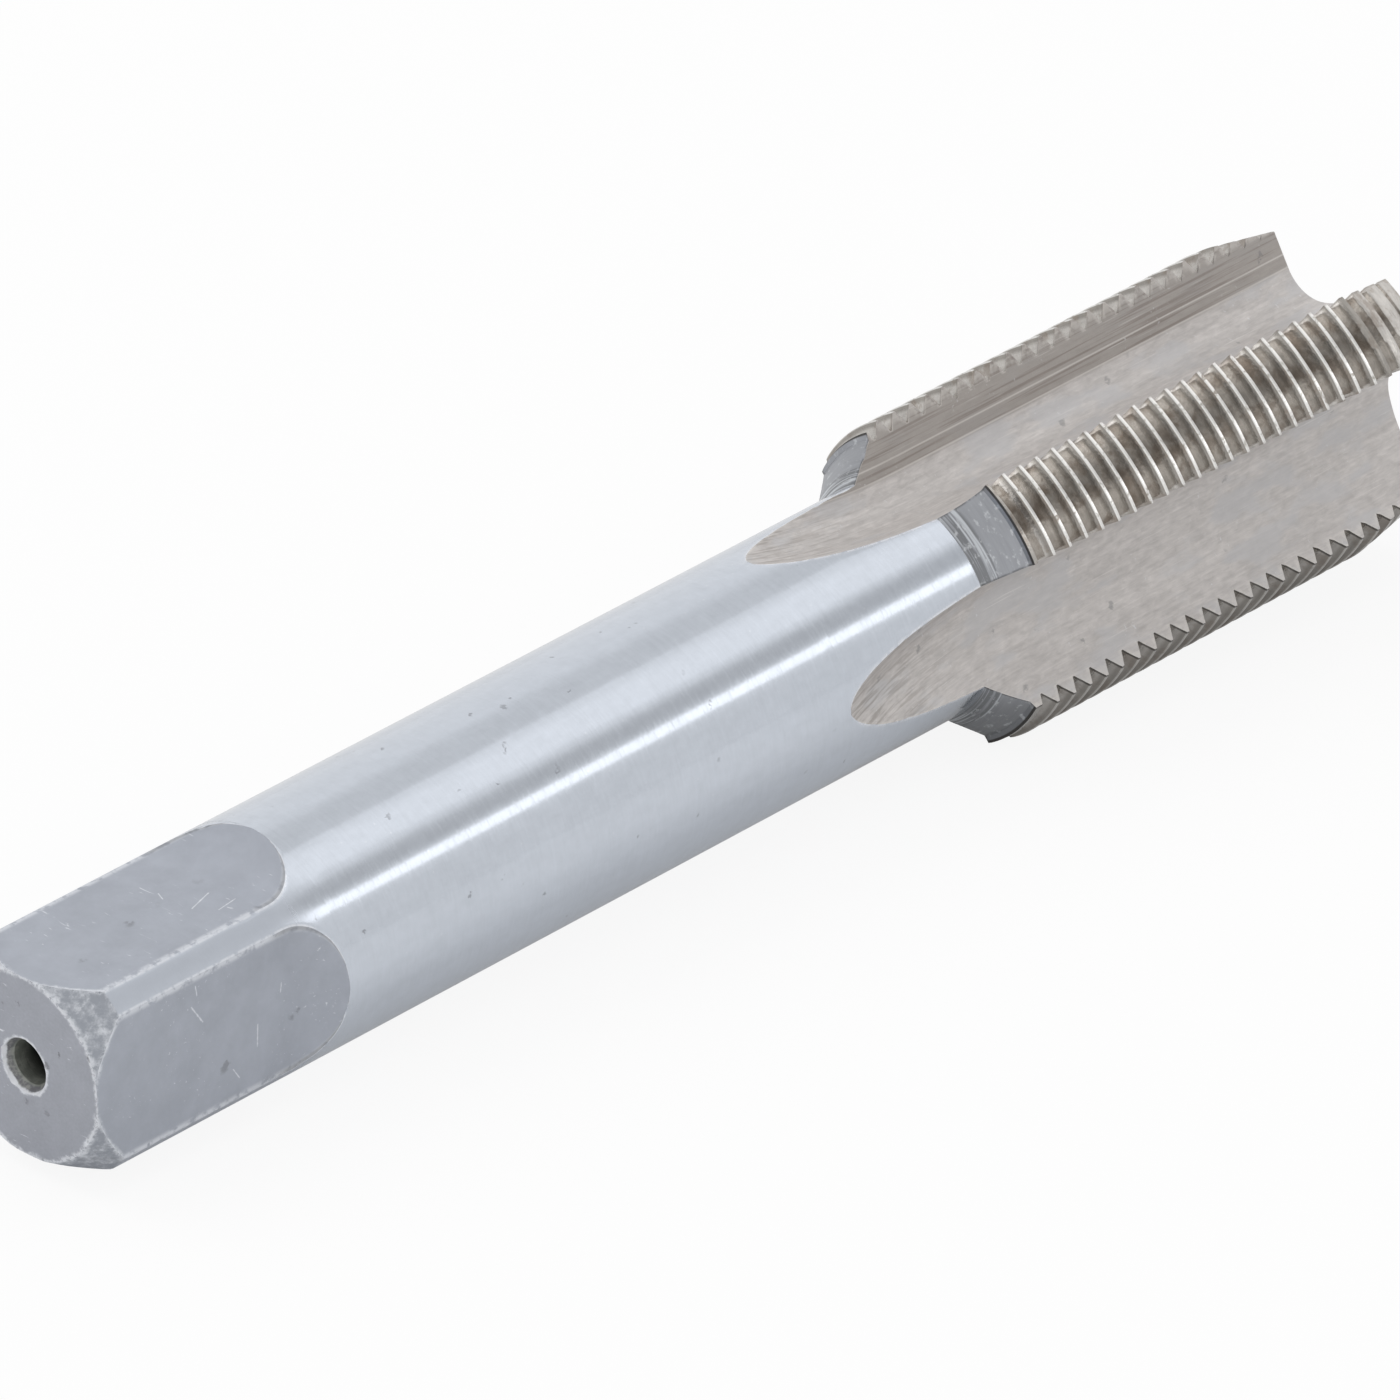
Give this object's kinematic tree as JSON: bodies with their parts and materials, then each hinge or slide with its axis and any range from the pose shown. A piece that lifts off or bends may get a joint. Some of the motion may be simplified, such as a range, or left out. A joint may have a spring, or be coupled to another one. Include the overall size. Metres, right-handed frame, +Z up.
{
  "type": "thread tap",
  "caption": "Straight-fluted hand tap with a square drive end, round shank and tapered right-hand cutting thread, for cutting threads for wire inserts.",
  "frame": {"origin": "on the floor it lies on, under the middle of its bounding box", "axes": "+X along the tool towards the cutting end, +Z up. The tool lies at rest, so its axis slopes up 1.5 degrees from the square end towards +X."},
  "size_m": [0.1174, 0.0192, 0.02],
  "materials": {
    "tool_steel": "ground high speed steel, satin to bright"
  },
  "bodies": {
    "root": {"tap": "tool_steel"}
  },
  "joints": []
}
